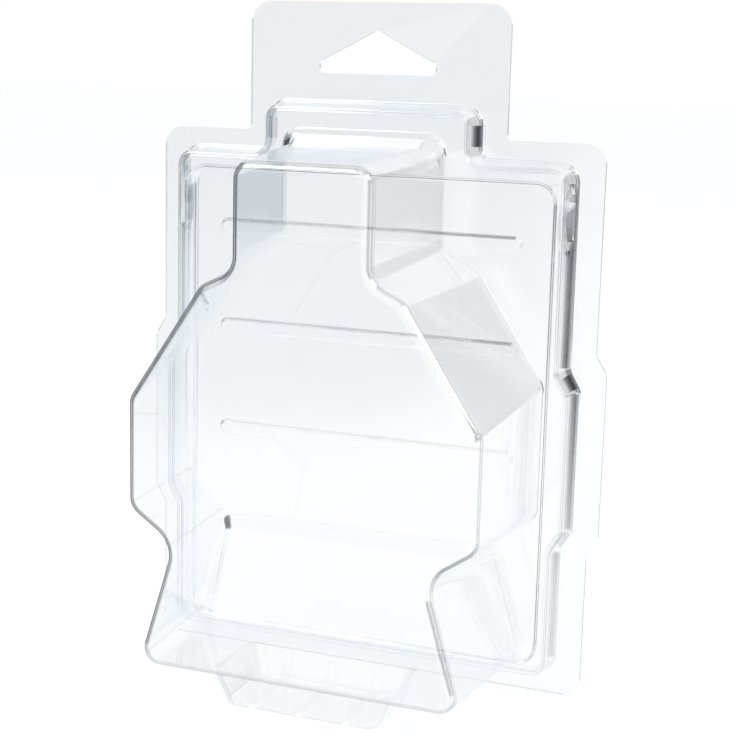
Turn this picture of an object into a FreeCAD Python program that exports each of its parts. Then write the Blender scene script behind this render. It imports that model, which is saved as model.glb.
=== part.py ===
import FreeCAD, Part
import os
from math import atan2, cos, hypot, pi, sin, tan

# A clear thermoformed hanging pack, folded along the bottom edge of its flanges: a front
# shell with a deep shaped pocket, and a back shell whose plug nests in the front shell's
# rim step. Lengths are in millimetres. X runs across the pack, Z runs up and the front
# faces -Y. The origin is the middle of the fold, where the two flanges meet.

# Sheet and fits
sheet = 0.5
nest_gap = 0.35
front_gap = 0.3

# Flange with its hang tab and its side bulge
flange_half_width = 61.9
flange_top = 145.5
flange_corner = 5.0
tab_half_width = 36.0
tab_top = 179.4
tab_corner = 5.5
tab_root_radius = 1.6
bulge_out = 2.9
bulge_blend = 3.0
bulge_slope = 4.9
flange_bulge_low = 43.7
flange_bulge_high = 87.3

# Hang hole, a triangle with blunt ends
hole_half_width = 16.2
hole_bottom = 161.0
hole_shoulder = 164.1
hole_apex = 172.4
hole_corner = 1.5
hole_apex_radius = 2.2

# Rim step of the front shell, measured where it leaves the flange
step_depth = 8.5
step_taper = 1.5
step_half_width = 55.4
step_bottom = 5.4
step_shoulder = 141.0
step_corner = 5.5
step_tab_half_width = 29.5
step_tab_top = 154.0
step_tab_corner = 5.0
step_tab_root_radius = 2.6
step_bulge_low = 45.4
step_bulge_high = 82.9

# Snap bumps on the side walls of the rim step, and the flutes that clear them
snap_level = 126.0
snap_half_length = 8.4
snap_height = 1.5
snap_back = 2.0
snap_width = 4.8
snap_rim_width = 1.4

# Pocket of the front shell; its outline is given at the front
pocket_depth = 49.0
neck_half_width = 18.1
neck_top = 140.6
neck_corner = 4.6
neck_root = 113.3
neck_root_radius = 6.0
ledge_half_width = 26.8
ledge_level = 109.2
ledge_radius = 4.5
body_half_width = 46.6
body_top = 79.1
body_bottom = 50.7
body_radius = 5.0
waist_half_width = 34.1
waist_level = 42.2
waist_radius = 7.5
base_half_width = 44.0
base_level = 9.1
base_radius = 4.4
pocket_draft = (3.2, 4.3, 5.5, 6.5, 4.0, 3.0, 4.1, 0.4)
lip_depth = 12.2
lip_rise = 3.6

# Foot under the pocket floor
foot_half_width = 21.0
foot_front = 44.0
foot_back = 22.0
foot_side_lean = 3.8
foot_end_lean = 1.6
foot_corner = 3.2
groove_pitch = 13.0
groove_count = 3
groove_half_width = 0.9
groove_depth = 0.9

# Back panel of the back shell, sunk in the plug
panel_level = 4.3
panel_half_width = 50.4
panel_low = 10.4
panel_high = 134.9
panel_corner = 4.5
panel_lean = 0.6
bead_levels = (119.6, 92.3, 63.6)
bead_half_length = 42.6
bead_half_width = 2.2
bead_depth = 1.3
bead_lean = 0.6

# Pedestal on the back panel, behind the flared base of the pocket
pedestal_top = 38.5
pedestal_top_half_width = 40.8
pedestal_bottom = 8.4
pedestal_bottom_half_width = 48.6
pedestal_corner = 2.8
pedestal_buried_corner = 0.6
pedestal_lean = (1.0, 4.6, 1.0)
pedestal_reach_top = 8.0
pedestal_reach_bottom = 3.0

# Edge radii, given on the skin that faces forward
pocket_front_radius = 2.6
pocket_root_radius = 0.6
step_front_radius = 0.8
step_root_radius = 0.6
plug_front_radius = 0.9
panel_rim_radius = 0.9
panel_floor_radius = 0.5
bead_radius = 0.45
foot_sole_radius = 1.0
foot_root_radius = 0.6

# Flat strips in which the rounded edges are built
wide_steps = 4
edge_steps = 2
root_steps = 1

# How far the cutting forms reach behind the flanges
behind = 3.0


# Outlines: lists of corners (across, up, radius) that run counter-clockwise

def mirrored(half):
    """Closed outline from its right half, which is given from the top downwards."""
    left = [(-x, z, radius) for x, z, radius in half]
    return list(reversed(half)) + left


def both_sides(moves):
    """Moves for the sides of a mirrored outline: top, right sides downwards, bottom."""
    sides = list(moves[1:-1])
    return [moves[-1]] + list(reversed(sides)) + [moves[0]] + sides


def direction(a, b):
    length = hypot(b[0] - a[0], b[1] - a[1])
    return ((b[0] - a[0]) / length, (b[1] - a[1]) / length)


def turn_at(corners, i):
    """Directions of the two sides that meet in a corner, and the cross product of them."""
    along = direction(corners[i - 1], corners[i])
    onward = direction(corners[i], corners[(i + 1) % len(corners)])
    return along, onward, along[0] * onward[1] - along[1] * onward[0]


def shifted(corners, moves, radius_share=1.0):
    """Move each side of an outline inwards by its own distance."""
    moved = []
    for i, (x, z, radius) in enumerate(corners):
        along, onward, cross = turn_at(corners, i)
        first = moves[i]
        second = moves[(i + 1) % len(corners)]
        dx = (first * onward[0] - second * along[0]) / cross
        dz = (first * onward[1] - second * along[1]) / cross
        change = radius_share * (first + second) / 2
        fitted = radius - change if cross > 0 else radius + change
        moved.append((x + dx, z + dz, max(fitted, 0.2)))
    return moved


def inset(corners, distance):
    return shifted(corners, [distance] * len(corners))


def between(corners_a, corners_b, share):
    """Outline part of the way from one outline to another, or beyond either of them."""
    return [tuple(a + (b - a) * share for a, b in zip(corner_a, corner_b))
            for corner_a, corner_b in zip(corners_a, corners_b)]


def rounded_edges(corners, place):
    """Closed outline as edges: straight sides and tangent corner arcs, by turns."""
    starts = []
    ends = []
    arcs = []
    for i, (x, z, radius) in enumerate(corners):
        along, onward, cross = turn_at(corners, i)
        turn = atan2(abs(cross), along[0] * onward[0] + along[1] * onward[1])
        cut = radius * tan(turn / 2)
        lift = radius / cos(turn / 2) - radius
        bisector = direction(along, onward)
        start = place(x - along[0] * cut, z - along[1] * cut)
        crown = place(x + bisector[0] * lift, z + bisector[1] * lift)
        end = place(x + onward[0] * cut, z + onward[1] * cut)
        arcs.append(Part.Arc(start, crown, end).toShape())
        starts.append(start)
        ends.append(end)
    edges = []
    for i in range(len(corners)):
        edges.append(Part.LineSegment(ends[i - 1], starts[i]).toShape())
        edges.append(arcs[i])
    return edges


def rounded_wire(corners, place):
    return Part.Wire(rounded_edges(corners, place))


def upright(y):
    return lambda x, z: FreeCAD.Vector(x, y, z)


def level(z):
    return lambda x, y: FreeCAD.Vector(x, y, z)


# Solids from outlines

def slab(corners, y_back, y_front):
    face = Part.Face(rounded_wire(corners, upright(y_back)))
    return face.extrude(FreeCAD.Vector(0, y_front - y_back, 0))


def strip(first, second):
    """Face between two edges of neighbouring outlines: flat, or ruled where it can't be."""
    near = [vertex.Point for vertex in first.Vertexes]
    far = [vertex.Point for vertex in second.Vertexes]
    skew = (near[1] - near[0]).getAngle(far[1] - far[0])
    if isinstance(first.Curve, Part.Circle) or skew > 1e-6:
        return Part.makeRuledSurface(first, second)
    return Part.Face(Part.makePolygon(near + far[::-1] + near[:1]))


def skinned(outlines):
    """Solid through outlines that are given as lists of edges."""
    faces = [Part.Face(Part.Wire(outlines[0])), Part.Face(Part.Wire(outlines[-1]))]
    for lower, upper in zip(outlines, outlines[1:]):
        faces += [strip(first, second) for first, second in zip(lower, upper)]
    shell = Part.makeShell(faces)
    shell.sewShape()
    solid = Part.makeSolid(shell)
    if solid.Volume < 0:
        solid.reverse()
    return solid


def stack(sections):
    """Solid through upright outlines, given as (corners, y)."""
    return skinned([rounded_edges(corners, upright(y)) for corners, y in sections])


def swept(radius, steps):
    """Points of a rounded edge from wall to face: how far in, and how far below the face."""
    angles = [pi / 2 * i / steps for i in range(steps + 1)]
    return [(radius * (1 - cos(angle)), radius * (1 - sin(angle))) for angle in angles]


def steps_on(steps, skin):
    """The rear skin's edges are tighter, so they take one strip fewer."""
    return steps if skin == 0 else max(steps - 1, 1)


def front_edge(outline_at, depth, radius, steps):
    """Sections that round the edge between the walls and a front face at a depth."""
    sections = []
    for inwards, below in swept(radius, steps):
        outline = inset(outline_at(depth - below), inwards)
        sections.append((outline, below - depth))
    return sections


def root_edge(outline_at, depth, radius, steps):
    """Sections that round the corner between the walls and the skin they rise from."""
    sections = []
    for outwards, above in reversed(swept(radius, steps)):
        outline = inset(outline_at(depth + above), -outwards)
        sections.append((outline, -depth - above))
    return sections


# Outlines of the pack

def flange_outline():
    bulge = flange_half_width + bulge_out
    return mirrored([
        (tab_half_width, tab_top, tab_corner),
        (tab_half_width, flange_top, tab_root_radius),
        (flange_half_width, flange_top, flange_corner),
        (flange_half_width, flange_bulge_high + bulge_slope, bulge_blend),
        (bulge, flange_bulge_high, bulge_blend),
        (bulge, flange_bulge_low, bulge_blend),
        (flange_half_width, flange_bulge_low - bulge_slope, bulge_blend),
        (flange_half_width, 0.0, flange_corner),
    ])


def hole_outline():
    ends = mirrored([
        (hole_half_width, hole_shoulder, hole_corner),
        (hole_half_width, hole_bottom, hole_corner),
    ])
    return ends[:2] + [(0.0, hole_apex, hole_apex_radius)] + ends[2:]


def step_outline(depth, clearance):
    """Rim step at a depth in front of the mating plane, drawn in by a clearance."""
    bulge = step_half_width + bulge_out
    root = mirrored([
        (step_tab_half_width, step_tab_top, step_tab_corner),
        (step_tab_half_width, step_shoulder, step_tab_root_radius),
        (step_half_width, step_shoulder, step_corner),
        (step_half_width, step_bulge_high + bulge_slope, bulge_blend),
        (bulge, step_bulge_high, bulge_blend),
        (bulge, step_bulge_low, bulge_blend),
        (step_half_width, step_bulge_low - bulge_slope, bulge_blend),
        (step_half_width, step_bottom, step_corner),
    ])
    return inset(root, clearance + step_taper * depth / step_depth)


def pocket_outlines():
    """Pocket outline at the front face, behind the lip and at the rim step."""
    front = mirrored([
        (neck_half_width, neck_top, neck_corner),
        (neck_half_width, neck_root, neck_root_radius),
        (ledge_half_width, ledge_level, ledge_radius),
        (body_half_width, body_top, body_radius),
        (body_half_width, body_bottom, body_radius),
        (waist_half_width, waist_level, waist_radius),
        (base_half_width, base_level, base_radius),
    ])
    spread = [-move for move in both_sides(pocket_draft)]
    back = shifted(front, spread, 0.25)
    share = (pocket_depth - lip_depth) / (pocket_depth - step_depth)
    lip = between(front, back, share)
    top_move = both_sides([-lip_rise] + [0.0] * (len(pocket_draft) - 1))
    return front, lip, shifted(back, top_move, 0.0)


def panel_outline(depth):
    """Recess of the back panel, which opens towards the front."""
    outline = mirrored([
        (panel_half_width, panel_high, panel_corner),
        (panel_half_width, panel_low, panel_corner),
    ])
    return inset(outline, -panel_lean * (depth - panel_level) / (step_depth - panel_level))


# Front shell

def step_form(skin):
    """Rim step; the skin is how far the form lies inside the forward skin."""
    def outline_at(depth):
        return step_outline(depth, skin)

    back = 0.0 if skin == 0 else behind
    sections = [(outline_at(-back), back)]
    sections += root_edge(outline_at, sheet - skin, step_root_radius + skin, root_steps)
    sections += front_edge(outline_at, step_depth - skin, step_front_radius - skin,
                           steps_on(edge_steps, skin))
    return stack(sections)


def pocket_form(skin):
    front, lip, back = [inset(outline, skin) for outline in pocket_outlines()]

    def wall_at(depth):
        return between(front, lip, (pocket_depth - depth) / (pocket_depth - lip_depth))

    def lip_at(depth):
        return between(back, lip, (depth - step_depth) / (lip_depth - step_depth))

    root_depth = step_depth - skin
    front_depth = pocket_depth - skin
    sections = [(back, -root_depth / 2)]
    if skin == 0:
        sections += root_edge(lip_at, root_depth, pocket_root_radius, root_steps)
    sections.append((lip, -lip_depth + 0.6 * skin))
    sections += front_edge(wall_at, front_depth, pocket_front_radius - skin,
                           steps_on(wide_steps, skin))
    return stack(sections)


def foot_block(skin):
    half = foot_half_width
    sole = [
        (-half, -foot_front, foot_corner),
        (half, -foot_front, foot_corner),
        (half, -foot_back, foot_corner),
        (-half, -foot_back, foot_corner),
    ]
    leans = [foot_side_lean, foot_end_lean, foot_side_lean, foot_end_lean]
    skins = [skin * hypot(lean, base_level) / base_level for lean in leans]

    def section(z, inwards):
        moves = [own + inwards - lean * z / base_level for own, lean in zip(skins, leans)]
        return rounded_edges(shifted(sole, moves, 0.3), level(z))

    radius = max(foot_sole_radius - skin, 0.2)
    outlines = [section(skin + above, inwards)
                for inwards, above in reversed(swept(radius, steps_on(edge_steps, skin)))]
    outlines.append(section(base_level + 4.0, 0.0))
    return skinned(outlines)


def foot_form(skin):
    """Foot block under the pocket floor, with grooves round its front, sole and back."""
    body = foot_block(skin)
    core = foot_block(skin + groove_depth)
    for i in range(groove_count):
        x = (i - (groove_count - 1) / 2) * groove_pitch
        half = groove_half_width + skin
        corner = FreeCAD.Vector(x - half, -foot_front - 10.0, -1.0)
        band = Part.makeBox(2 * half, 60.0, base_level + 1.0 - foot_root_radius, corner)
        body = body.cut(band.cut(core))
    return body


def snap_disc(side, growth, y_back, y_front):
    """Round-rimmed disc whose edge dents a side wall of the rim step."""
    radius = (snap_half_length ** 2 + snap_height ** 2) / (2 * snap_height)
    wall = step_half_width - step_taper * (snap_back + snap_width / 2) / step_depth
    centre = wall - snap_height + radius
    body = Part.makeCylinder(
        radius + growth, y_back - y_front,
        FreeCAD.Vector(side * centre, y_front, snap_level), FreeCAD.Vector(0, 1, 0))
    rims = [edge for edge in body.Edges
            if edge.BoundBox.YLength < 1e-6 and edge.BoundBox.YMin > -step_depth]
    return body.makeChamfer(snap_rim_width + growth / 2, rims)


def front_form(skin):
    flange_back = 0.0 if skin == 0 else behind
    flange = slab(inset(flange_outline(), -2.0 if skin else 0.0), flange_back, skin - sheet)
    form = flange.fuse(step_form(skin))
    form = form.fuse(pocket_form(skin))
    form = form.fuse(foot_form(skin)).removeSplitter()
    for side in (-1, 1):
        bump = snap_disc(side, skin, -snap_back + skin, -snap_back - snap_width - skin)
        form = form.cut(bump)
    return form


def front_shell():
    body = front_form(0.0).cut(front_form(sheet))
    return body.cut(slab(hole_outline(), behind, -behind))


# Back shell

def plug_form(skin):
    def outline_at(depth):
        return step_outline(depth, sheet + nest_gap + skin)

    back = 0.0 if skin == 0 else behind
    front = step_depth - sheet - front_gap - skin
    sections = [(outline_at(-back), back)]
    sections += root_edge(outline_at, -skin, step_root_radius + skin, root_steps)
    sections += front_edge(outline_at, front, plug_front_radius - skin,
                           steps_on(edge_steps, skin))
    return stack(sections)


def panel_cut(skin):
    """What the sunk panel takes away from the plug."""
    def outline_at(depth):
        return inset(panel_outline(depth), -skin)

    def flared_at(depth):
        return inset(panel_outline(depth), -skin - panel_rim_radius + skin)

    floor = panel_level - skin
    front = step_depth - sheet - front_gap - skin
    sections = []
    for inwards, above in reversed(swept(panel_floor_radius + skin, root_steps)):
        sections.append((inset(outline_at(floor + above), inwards), -floor - above))
    for outwards, below in swept(panel_rim_radius - skin, steps_on(edge_steps, skin)):
        sections.append((inset(outline_at(front - below), -outwards), below - front))
    sections.append((flared_at(front), -step_depth - 1.0))
    return stack(sections)


def bead_form(z, skin):
    root = mirrored([
        (bead_half_length, z + bead_half_width, bead_half_width - 0.05),
        (bead_half_length, z - bead_half_width, bead_half_width - 0.05),
    ])

    def outline_at(depth):
        return inset(root, skin + bead_lean * (depth - panel_level) / bead_depth)

    floor = panel_level - skin
    crest = floor + bead_depth
    sections = [(outline_at(floor), sheet - floor), (outline_at(floor), -floor)]
    if skin == 0:
        sections += front_edge(outline_at, crest, bead_radius, root_steps)
    else:
        sections.append((outline_at(crest), -crest))
    return stack(sections)


def pedestal_form(skin):
    """Ramp-faced block that stands forward from the panel."""
    root = mirrored([
        (pedestal_top_half_width, pedestal_top, pedestal_corner),
        (pedestal_bottom_half_width, pedestal_bottom, pedestal_buried_corner),
    ])
    root = inset(root, skin)
    front = shifted(root, both_sides(pedestal_lean), 0.3)
    slope = (pedestal_reach_top - pedestal_reach_bottom) / (pedestal_top - pedestal_bottom)

    def ramp(x, z):
        reach = pedestal_reach_top - slope * (pedestal_top - z)
        return FreeCAD.Vector(x, skin - panel_level - reach, z)

    floor = panel_level - skin
    buried = rounded_edges(root, upright(sheet - floor))
    foot = rounded_edges(root, upright(-floor))
    return skinned([buried, foot, rounded_edges(front, ramp)])


def back_form(skin):
    flange_back = sheet if skin == 0 else behind
    flange = slab(inset(flange_outline(), -2.0 if skin else 0.0), flange_back, skin)
    form = flange.fuse(plug_form(skin))
    form = form.cut(panel_cut(skin))
    for z in bead_levels:
        form = form.fuse(bead_form(z, skin))
    form = form.fuse(pedestal_form(skin)).removeSplitter()
    growth = sheet + nest_gap + skin
    for side in (-1, 1):
        form = form.cut(snap_disc(side, growth, -snap_back + growth, -step_depth - 4.0))
    return form


def back_shell():
    body = back_form(0.0).cut(back_form(sheet))
    return body.cut(slab(hole_outline(), behind, -behind))


os.makedirs("parts", exist_ok=True)
front_shell().exportStep("parts/front_shell.step")
back_shell().exportStep("parts/back_shell.step")
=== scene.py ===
from math import cos, radians, sin

import bmesh
import bpy
from mathutils import Matrix, Vector


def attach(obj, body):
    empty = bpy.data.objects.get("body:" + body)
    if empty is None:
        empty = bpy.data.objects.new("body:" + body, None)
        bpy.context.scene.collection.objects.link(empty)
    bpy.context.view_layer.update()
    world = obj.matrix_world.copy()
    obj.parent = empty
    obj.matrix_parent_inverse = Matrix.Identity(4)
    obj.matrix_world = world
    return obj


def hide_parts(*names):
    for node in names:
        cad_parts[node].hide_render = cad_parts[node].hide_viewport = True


# A clear thermoformed clamshell: two formed shells that fold together along the bottom edge.
# Lengths are in metres, and the pack stands where the CAD model stands.

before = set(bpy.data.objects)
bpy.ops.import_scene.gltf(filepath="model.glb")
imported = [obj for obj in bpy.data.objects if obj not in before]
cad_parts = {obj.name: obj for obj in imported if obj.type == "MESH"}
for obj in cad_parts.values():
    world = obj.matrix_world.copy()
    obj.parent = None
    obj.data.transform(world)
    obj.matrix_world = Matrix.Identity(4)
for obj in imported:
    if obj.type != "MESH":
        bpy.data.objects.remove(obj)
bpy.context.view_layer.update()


# Camera

def set_camera():
    """The photograph's view: right of the front, a little above, turned by the lens's roll."""
    turn, dip, roll = radians(21.21), radians(10.91), radians(1.46)
    ahead = Vector((-sin(turn) * cos(dip), cos(turn) * cos(dip), -sin(dip)))
    right = Vector((cos(turn), sin(turn), 0.0))
    up = right.cross(ahead)
    rolled_right = cos(roll) * right + sin(roll) * up
    rolled_up = cos(roll) * up - sin(roll) * right
    camera = bpy.data.objects.new("camera", bpy.data.cameras.new("camera"))
    bpy.context.scene.collection.objects.link(camera)
    camera.data.sensor_width = 36.0
    camera.data.lens = 79.5
    camera.data.clip_start = 0.01
    camera.data.clip_end = 50.0
    place = Matrix.Identity(4)
    for row in range(3):
        place[row][0] = rolled_right[row]
        place[row][1] = rolled_up[row]
        place[row][2] = -ahead[row]
    place.translation = Vector((0.155139, -0.401080, 0.166071))
    camera.matrix_world = place
    bpy.context.scene.camera = camera


# Shader nodes

class Nodes:
    """A node tree that is filled one node at a time, with links given as inputs."""

    def __init__(self, tree):
        self.tree = tree
        tree.nodes.clear()

    def add(self, kind, inputs=None, **settings):
        node = self.tree.nodes.new(kind)
        for name, value in settings.items():
            setattr(node, name, value)
        for name, value in (inputs or {}).items():
            socket = node.inputs[name]
            if isinstance(value, bpy.types.NodeSocket):
                self.tree.links.new(value, socket)
            else:
                socket.default_value = value
        return node

    def maths(self, operation, *values, clamp=False):
        return self.add("ShaderNodeMath", dict(enumerate(values)),
                        operation=operation, use_clamp=clamp).outputs[0]

    def scaled(self, value, low, high, to_low, to_high):
        return self.add("ShaderNodeMapRange", {
            "Value": value, "From Min": low, "From Max": high,
            "To Min": to_low, "To Max": to_high}, clamp=True).outputs[0]

    def noise(self, place, scale, detail=3.0, roughness=0.5):
        return self.add("ShaderNodeTexNoise", {
            "Vector": place, "Scale": scale, "Detail": detail,
            "Roughness": roughness}).outputs["Fac"]

    def colours(self, factor, first, second):
        node = self.add("ShaderNodeMix", {"Factor": factor}, data_type="RGBA")
        for socket, value in ((node.inputs[6], first), (node.inputs[7], second)):
            if isinstance(value, bpy.types.NodeSocket):
                self.tree.links.new(value, socket)
            else:
                socket.default_value = value
        return node.outputs[2]


def new_material(name):
    material = bpy.data.materials.new(name)
    material.use_nodes = True
    return material, Nodes(material.node_tree)


# Clear sheet

THIN_TINTS = ((0.987, 0.991, 0.994, 1.0), (0.994, 0.997, 0.998, 1.0))
LONG_PATH_TINT = (0.94, 0.957, 0.968, 1.0)
# Painted shade: the colour of the painted dark lines on bends, cut edges and the root of the right
# rim walls.
PAINTED_EDGE_SHADE_TINT = (0.05, 0.065, 0.085, 1.0)
GLOSS_TINT = (0.98, 0.988, 1.0, 1.0)
SHADOW_TINT = (0.88, 0.89, 0.90, 1.0)


def marked(nodes, name):
    """One of the values that mark_bends writes on the mesh."""
    return nodes.add("ShaderNodeAttribute", attribute_name=name).outputs["Fac"]


def painted_dark_lines(nodes, place, facing):
    """Painted dark lines, a painted shade: on bends seen at a glancing angle, and a painted dark
    strip along the root of the right rim walls, stronger higher up.
    """
    at_bend = nodes.maths("MULTIPLY", nodes.scaled(facing, 0.36, 0.76, 0.0, 1.0),
                          marked(nodes, "painted_edge_shade"))
    parts = nodes.add("ShaderNodeSeparateXYZ", {"Vector": place}).outputs
    # Painted shade: a dark strip along the root of the right rim walls, stronger higher up.
    at_root = nodes.scaled(parts["Y"], -0.0042, -0.0030, 0.0, 0.62)
    upper = nodes.scaled(parts["Z"], 0.030, 0.085, 0.25, 1.0)
    painted_root_strip = nodes.maths("MULTIPLY", nodes.maths("MULTIPLY", at_root, upper),
                             marked(nodes, "painted_root_shade"))
    return nodes.maths("MAXIMUM", at_bend, painted_root_strip)


def mirror_share(nodes, facing, painted_edge_shade):
    """More mirror at a glancing angle, on tight bends and where they begin, less on the painted
    dark lines.
    """
    glancing = nodes.maths("MULTIPLY_ADD", nodes.maths("POWER", facing, 4.0), 0.84, 0.065)
    begins = nodes.maths("MULTIPLY", nodes.maths("POWER", marked(nodes, "crease"), 3.0), 0.55)
    tight = nodes.scaled(marked(nodes, "bend"), 0.50, 1.00, 0.0, 1.0)
    share = nodes.maths("MULTIPLY_ADD", nodes.maths("MAXIMUM", tight, begins), 0.62, glancing,
                        clamp=True)
    return nodes.maths("MULTIPLY", share, nodes.scaled(painted_edge_shade, 0.0, 1.0, 1.0, 0.15))


def clear_sheet():
    """Thin clear plastic: it passes light, and mirrors the room more at a glancing angle."""
    material, nodes = new_material("clear_sheet")
    place = nodes.add("ShaderNodeTexCoord").outputs["Object"]
    stretched = nodes.add("ShaderNodeMapping", {
        "Vector": place, "Scale": (1.0, 1.0, 0.35)}).outputs[0]
    ripple = nodes.noise(place, 26.0, 2.0)
    drawn = nodes.noise(stretched, 160.0, 2.0)
    cloud = nodes.noise(place, 45.0, 4.0)
    grain = nodes.noise(place, 900.0, 2.0)

    surface = nodes.add("ShaderNodeBump", {
        "Strength": 0.35, "Distance": 0.0012,
        "Height": nodes.maths("MULTIPLY_ADD", drawn, 0.12, ripple)}).outputs[0]
    facing = nodes.add("ShaderNodeLayerWeight", {
        "Blend": 0.5, "Normal": surface}).outputs["Facing"]
    painted_edge_shade = painted_dark_lines(nodes, place, facing)

    thin = nodes.colours(cloud, *THIN_TINTS)
    tinted = nodes.colours(nodes.maths("POWER", facing, 3.0), thin, LONG_PATH_TINT)
    # Painted shade: the painted dark lines darken what the sheet lets through.
    tinted = nodes.colours(painted_edge_shade, tinted, PAINTED_EDGE_SHADE_TINT)
    clear = nodes.add("ShaderNodeBsdfTransparent", {"Color": tinted})
    gloss = nodes.add("ShaderNodeBsdfGlossy", {
        "Color": GLOSS_TINT, "Normal": surface,
        "Roughness": nodes.scaled(grain, 0.3, 0.7, 0.02, 0.07)})
    mixed = nodes.add("ShaderNodeMixShader", {
        0: mirror_share(nodes, facing, painted_edge_shade), 1: clear.outputs[0], 2: gloss.outputs[0]})

    # Shadow rays meet one even tint, which looks the same and renders a quarter faster.
    shadow = nodes.add("ShaderNodeLightPath").outputs["Is Shadow Ray"]
    even = nodes.add("ShaderNodeBsdfTransparent", {"Color": SHADOW_TINT})
    mixed = nodes.add("ShaderNodeMixShader", {
        0: shadow, 1: mixed.outputs[0], 2: even.outputs[0]})
    nodes.add("ShaderNodeOutputMaterial", {"Surface": mixed.outputs[0]})
    return material


# Places on the shells

BEAD_LEVELS = (0.1196, 0.0923, 0.0636)
BEAD_HALF_HEIGHT = 0.0031
BEAD_HALF_LENGTH = 0.046
SNAP_LEVEL = 0.126
SNAP_HALF_HEIGHT = 0.0087
RIM_SIDE = 0.050
RIM_TOP = 0.137
RIM_DEPTH = 0.0105
PEDESTAL_TOP = (0.0366, 0.0402)
PEDESTAL_HALF_WIDTH = 0.0420
FLANGE_DEPTH = 0.0006
CUT_DEPTH = 0.00055


def on_rim(centre):
    return centre.y > -RIM_DEPTH and (abs(centre.x) > RIM_SIDE or centre.z > RIM_TOP)


def on_snap_bump(centre):
    return (centre.y > -RIM_DEPTH and abs(centre.x) > RIM_SIDE
            and abs(centre.z - SNAP_LEVEL) < SNAP_HALF_HEIGHT)


def on_bead(centre):
    return (-0.0066 < centre.y < -0.0034 and abs(centre.x) < BEAD_HALF_LENGTH
            and any(abs(centre.z - level) < BEAD_HALF_HEIGHT for level in BEAD_LEVELS))


def at_pedestal_top(centre):
    return (centre.y > -0.0062 and abs(centre.x) < PEDESTAL_HALF_WIDTH
            and PEDESTAL_TOP[0] < centre.z < PEDESTAL_TOP[1])


def on_right_step_wall(centre):
    """On the right wall of the rim step or of the tab's step, where the painted dark strip along
    the root goes.
    """
    return (-0.0090 < centre.y < -FLANGE_DEPTH
            and (centre.x > RIM_SIDE or (centre.z > 0.139 and centre.x > 0.0265)))


# Bends of the shells

FLAT_TURN = radians(6.0)
SHARP_TURN = radians(52.0)
STRIP_WIDTH = 0.0016
WALL_WIDTH = 0.0010
ROUNDED = 0.30


def share_between(value, low, high):
    """0 up to low, 1 from high on, and in proportion between them."""
    return min(max((value - low) / (high - low), 0.0), 1.0)


def painted_edge_shade_share(out, centre, root):
    """How far a bend gets the painted dark line, a painted shade: side and lower edges do, edges
    lit from above don't.
    """
    if abs(centre.y) < FLANGE_DEPTH:
        return 0.0
    # Beads get painted shade on their upper bends and none on their lower bends.
    if on_bead(centre):
        return 0.9 if out.z > 0.25 else 0.0
    if root:
        level = out.y < -0.3 and abs(out.x) < 0.3
        return 1.0 if at_pedestal_top(centre) and level else 0.0
    if at_pedestal_top(centre) or (out.z > 0.35 and out.x > -0.3):
        return 0.0
    share = share_between(-out.y, 0.16, 0.36)
    if on_snap_bump(centre):
        share *= 0.5 if centre.x < 0.0 else 0.15
    return share * (0.30 + 0.70 * share_between(centre.z, 0.008, 0.020))


def facet_turns(face, centre):
    """Each turn to the facet beside, as its tightness per metre and its angle, tightest first."""
    turns = []
    for edge in face.edges:
        turn = edge.calc_face_angle_signed(0.0)
        if FLAT_TURN < abs(turn) < SHARP_TURN:
            start, end = (vertex.co for vertex in edge.verts)
            along = (end - start).normalized()
            away = centre - start
            across = 2.0 * (away - away.dot(along) * along).length
            turns.append((abs(turn) / max(across, 1e-5), turn))
    turns.sort(reverse=True)
    return turns


def flat_values(face, centre, width):
    """A flat face: cut edges get a faint painted dark line, and the right rim walls get the
    painted dark strip along their root, a painted shade.
    """
    cut_edge = abs(centre.y) < FLANGE_DEPTH and abs(face.normal.y) < 0.3
    painted_root_shade = 0.0
    if on_right_step_wall(centre) and abs(face.normal.x) > 0.6 and width > WALL_WIDTH:
        painted_root_shade = 0.8 if face.normal.x < 0.0 else 1.0
    # Painted shade: a faint painted dark line on cut edges, and the painted dark strip on the
    # right rim walls.
    return 0.0, 0.45 if cut_edge else 0.0, painted_root_shade


def bent_values(face, centre, turns):
    """A facet of a bend: how tight the bend is, and how far it gets the painted dark line, a
    painted shade.
    """
    bend = min(turns[1][0] / 1000.0, 1.5)
    hollow = turns[0][1] < 0.0
    from_behind = face.normal.y > 0.0
    root = hollow != from_behind
    sideways = abs(face.normal.x) > 0.35
    if on_rim(centre) and root and sideways and abs(face.normal.y) > 0.3:
        bend = max(bend, 1.0)
    elif on_rim(centre) and sideways:
        bend *= 0.5
    elif root or (on_rim(centre) and centre.z > RIM_TOP):
        bend *= 0.35
    out = -face.normal if from_behind else face.normal
    share = painted_edge_shade_share(out, centre, root) if bend > 0.05 else 0.0
    if root and share > 0.0:
        bend = max(bend, 1.0)
    elif share > 0.0 and out.z > 0.25 and out.x > -0.3:
        bend *= 0.2
    return bend, share, 0.0


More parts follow.
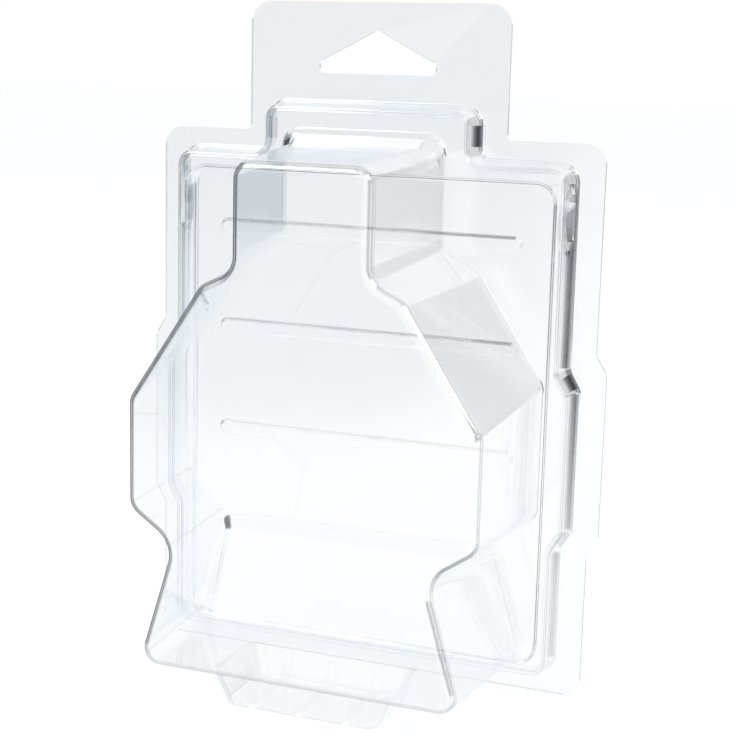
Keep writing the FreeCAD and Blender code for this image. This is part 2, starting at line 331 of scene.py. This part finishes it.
def mark_bends(mesh):
    """Write on the mesh how tight its bends are, where they begin, how far they get the painted
    dark lines, a painted shade, and where the painted dark strip along the rim walls' root goes."""
    shape = bmesh.new()
    shape.from_mesh(mesh)
    values = []
    for face in shape.faces:
        around = sum(edge.calc_length() for edge in face.edges)
        width = 2.0 * face.calc_area() / max(around, 1e-9)
        centre = face.calc_center_median()
        turns = facet_turns(face, centre)
        if len(turns) < 2 or width > STRIP_WIDTH:
            values.append(flat_values(face, centre, width))
        else:
            values.append(bent_values(face, centre, turns))
    bends, painted_edge_shades, painted_root_shade = (list(column) for column in zip(*values))
    rounded = [bend > ROUNDED for bend in bends]
    borders = set()
    for edge in shape.edges:
        sides = {rounded[face.index] for face in edge.link_faces}
        if len(sides) == 2 and edge.calc_face_angle(0.0) > FLAT_TURN:
            borders.update(vertex.index for vertex in edge.verts)
    begins = [1.0 if rounded[face.index] and vertex.index in borders else 0.0
              for face in shape.faces for vertex in face.verts]
    shape.free()
    for name, domain, numbers in (
            ("bend", "FACE", bends), ("painted_edge_shade", "FACE", painted_edge_shades),
            ("painted_root_shade", "FACE", painted_root_shade), ("crease", "CORNER", begins)):
        mesh.attributes.new(name, "FLOAT", domain).data.foreach_set("value", numbers)


# Formed shells

SOFTENING = 0.00028
MERGE_DISTANCE = 2e-6
COPLANAR_TURN = radians(0.6)


def select_only(piece):
    bpy.ops.object.select_all(action="DESELECT")
    piece.select_set(True)
    bpy.context.view_layer.objects.active = piece


def select_formed_edges(mesh):
    """Select the sharp edges that forming makes, and leave the edges that a die cuts."""
    shape = bmesh.new()
    shape.from_mesh(mesh)
    picked = []
    for edge in shape.edges:
        sharp = edge.is_manifold and edge.calc_face_angle(0.0) > SHARP_TURN
        cut = all(abs(vertex.co.y) < CUT_DEPTH for vertex in edge.verts)
        picked.append(sharp and not cut)
    shape.free()
    mesh.vertices.foreach_set("select", [False] * len(mesh.vertices))
    mesh.polygons.foreach_set("select", [False] * len(mesh.polygons))
    mesh.edges.foreach_set("select", picked)
    bpy.context.tool_settings.mesh_select_mode = (False, True, False)


def formed_shell(node_name, name, body, material):
    """The shell that is seen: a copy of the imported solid's mesh, merged and smoothed."""
    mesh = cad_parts[node_name].data.copy()
    mesh.name = name
    shell = bpy.data.objects.new(name, mesh)
    bpy.context.scene.collection.objects.link(shell)
    select_only(shell)
    bpy.ops.object.mode_set(mode="EDIT")
    bpy.ops.mesh.select_all(action="SELECT")
    bpy.ops.mesh.remove_doubles(threshold=MERGE_DISTANCE)
    bpy.ops.mesh.dissolve_limited(angle_limit=COPLANAR_TURN)
    bpy.ops.mesh.select_all(action="DESELECT")
    bpy.ops.object.mode_set(mode="OBJECT")
    select_formed_edges(mesh)
    bpy.ops.object.mode_set(mode="EDIT")
    bpy.ops.mesh.bevel(offset=SOFTENING, segments=2, profile=0.5, clamp_overlap=True)
    bpy.ops.mesh.select_all(action="DESELECT")
    bpy.ops.object.mode_set(mode="OBJECT")
    mark_bends(mesh)
    bpy.ops.object.shade_smooth_by_angle(angle=SHARP_TURN)
    weigh = shell.modifiers.new("face weighted normals", "WEIGHTED_NORMAL")
    weigh.keep_sharp = True
    weigh.weight = 90
    bpy.ops.object.modifier_apply(modifier=weigh.name)
    mesh.materials.clear()
    mesh.materials.append(material)
    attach(shell, body)
    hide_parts(node_name)


# Room

WHITE = (1.0, 1.0, 1.0, 1.0)
DARK_SIDES = (0.035, 0.045, 0.058, 1.0)
GREY_REAR = (0.27, 0.31, 0.34, 1.0)
GREY_FRONT = (0.34, 0.40, 0.45, 1.0)
AMBIENT = (0.78, 0.80, 0.82, 1.0)
PAPER_TINTS = ((0.86, 0.86, 0.86, 1.0), (0.90, 0.90, 0.90, 1.0))
TO_BACKDROP = (-0.362, 0.932, 0.0)
TO_CARD = (0.350, -0.937, 0.0)
TO_FRONT = (0.0, -1.0, 0.0)
TO_REAR = (0.0, 1.0, 0.0)


def background_rays(nodes):
    """Two shares: straight rays, seen direct or through clear pieces, and mirrored rays."""
    rays = nodes.add("ShaderNodeLightPath").outputs
    straight = nodes.maths("MAXIMUM", rays["Is Camera Ray"], rays["Is Transmission Ray"])
    return straight, rays["Is Glossy Ray"]


def in_plan(nodes, direction):
    """A direction's unit vector in plan."""
    plan = nodes.add("ShaderNodeVectorMath", {0: direction, 1: (1.0, 1.0, 0.0)},
                     operation="MULTIPLY").outputs[0]
    return nodes.add("ShaderNodeVectorMath", {0: plan}, operation="NORMALIZE").outputs[0]


def towards(nodes, plan, way):
    """How nearly a direction in plan points the given way."""
    return nodes.add("ShaderNodeVectorMath", {0: plan, 1: way},
                     operation="DOT_PRODUCT").outputs["Value"]


def room_colour(nodes, plan, lift):
    """The room round the pack: a white card at the front right, grey in front, dark sides."""
    card_score = nodes.maths("ADD", towards(nodes, plan, TO_CARD), lift)
    card = nodes.scaled(card_score, 0.80, 0.90, 0.0, 1.0)
    front = nodes.scaled(towards(nodes, plan, TO_FRONT), 0.45, 0.80, 0.0, 1.0)
    rear = nodes.scaled(towards(nodes, plan, TO_REAR), 0.90, 0.96, 0.0, 1.0)
    room = nodes.colours(front, nodes.colours(rear, DARK_SIDES, GREY_REAR), GREY_FRONT)
    return nodes.colours(card, room, WHITE)


def set_world():
    """White round the pack; what mirrors show is white behind the pack and dim in the room."""
    world = bpy.data.worlds.new("studio")
    bpy.context.scene.world = world
    world.use_nodes = True
    nodes = Nodes(world.node_tree)
    straight, mirrored = background_rays(nodes)
    direction = nodes.add("ShaderNodeTexCoord").outputs["Generated"]
    height = nodes.add("ShaderNodeSeparateXYZ", {"Vector": direction}).outputs["Z"]
    plan = in_plan(nodes, direction)
    score = nodes.maths("MULTIPLY_ADD", height, 0.25, towards(nodes, plan, TO_BACKDROP))
    behind = nodes.scaled(score, 0.69, 0.77, 0.0, 1.0)
    not_high = nodes.scaled(height, 0.62, 0.80, 1.0, 0.0)
    room = room_colour(nodes, plan, nodes.maths("MULTIPLY", height, 0.15))
    seen = nodes.colours(nodes.maths("MULTIPLY", behind, not_high), room, WHITE)
    colour = nodes.colours(mirrored, AMBIENT, seen)
    colour = nodes.colours(straight, colour, WHITE)
    glow = nodes.add("ShaderNodeBackground", {"Color": colour, "Strength": 1.0})
    nodes.add("ShaderNodeOutputWorld", {"Surface": glow.outputs[0]})


def set_floor():
    """Plain pale floor; its white sheet ends a little in front of the pack. The half that swings
    below the floor shows through it, because straight rays meet the same white beyond."""
    bpy.ops.object.select_all(action="DESELECT")
    bpy.ops.mesh.primitive_plane_add(size=12.0, location=(0.0, 0.0, 0.0))
    floor = bpy.context.active_object
    floor.name = "floor"
    material, nodes = new_material("pale_floor")
    straight, mirrored = background_rays(nodes)
    place = nodes.add("ShaderNodeTexCoord").outputs["Object"]
    plan = in_plan(nodes, place)

    # In mirrors: white near the sheet's middle and towards the backdrop, then the room.
    from_middle = nodes.add("ShaderNodeVectorMath", {0: place, 1: (0.08, 0.08, 0.0)},
                            operation="SUBTRACT").outputs[0]
    length = nodes.add("ShaderNodeVectorMath", {0: from_middle},
                       operation="LENGTH").outputs["Value"]
    longer = nodes.scaled(towards(nodes, plan, TO_REAR), 0.2, 0.6, 1.0, 0.48)
    far = nodes.scaled(nodes.maths("MULTIPLY", length, longer), 0.36, 0.56, 0.0, 1.0)
    aside = nodes.scaled(towards(nodes, plan, TO_BACKDROP), 0.885, 0.925, 1.0, 0.0)
    dim = nodes.maths("MULTIPLY", far, aside)
    seen = nodes.colours(dim, WHITE, room_colour(nodes, plan, 0.0))
    glow = nodes.add("ShaderNodeEmission", {"Color": seen, "Strength": 1.04})

    pale = nodes.colours(nodes.noise(place, 240.0, 3.0), *PAPER_TINTS)
    matt = nodes.add("ShaderNodeBsdfDiffuse", {"Color": pale})
    beyond = nodes.add("ShaderNodeBsdfTransparent", {"Color": WHITE})
    mixed = nodes.add("ShaderNodeMixShader", {
        0: nodes.maths("MULTIPLY", mirrored, 0.86), 1: matt.outputs[0], 2: glow.outputs[0]})
    mixed = nodes.add("ShaderNodeMixShader", {
        0: nodes.maths("MULTIPLY", straight, 0.86), 1: mixed.outputs[0], 2: beyond.outputs[0]})
    lift = nodes.add("ShaderNodeEmission", {"Strength": nodes.maths("MULTIPLY", straight, 0.035)})
    both = nodes.add("ShaderNodeAddShader", {0: mixed.outputs[0], 1: lift.outputs[0]})
    nodes.add("ShaderNodeOutputMaterial", {"Surface": both.outputs[0]})
    floor.data.materials.append(material)


def set_lamps():
    """One broad soft lamp over the front left and a weaker one from the right."""
    pack_middle = Vector((0.0, 0.0, 0.09))
    for name, place, size, power in (
            ("soft_lamp_left", (-0.7, -0.5, 1.1), 0.7, 7.0),
            ("soft_lamp_right", (0.9, -0.3, 0.9), 0.5, 3.0)):
        lamp = bpy.data.lights.new(name, "AREA")
        lamp.shape = "SQUARE"
        lamp.size = size
        lamp.energy = power
        stand = bpy.data.objects.new(name, lamp)
        bpy.context.scene.collection.objects.link(stand)
        stand.location = place
        stand.rotation_euler = (pack_middle - Vector(place)).to_track_quat("-Z", "Y").to_euler()


set_camera()
set_world()
set_floor()
set_lamps()
scene = bpy.context.scene
scene.view_settings.view_transform = "Standard"
scene.cycles.transparent_max_bounces = 40
scene.cycles.max_bounces = 12
scene.cycles.glossy_bounces = 8

sheet_material = clear_sheet()
formed_shell("front_shell", "front_half_shell", "front_half", sheet_material)
formed_shell("back_shell", "back_half_shell", "back_half", sheet_material)
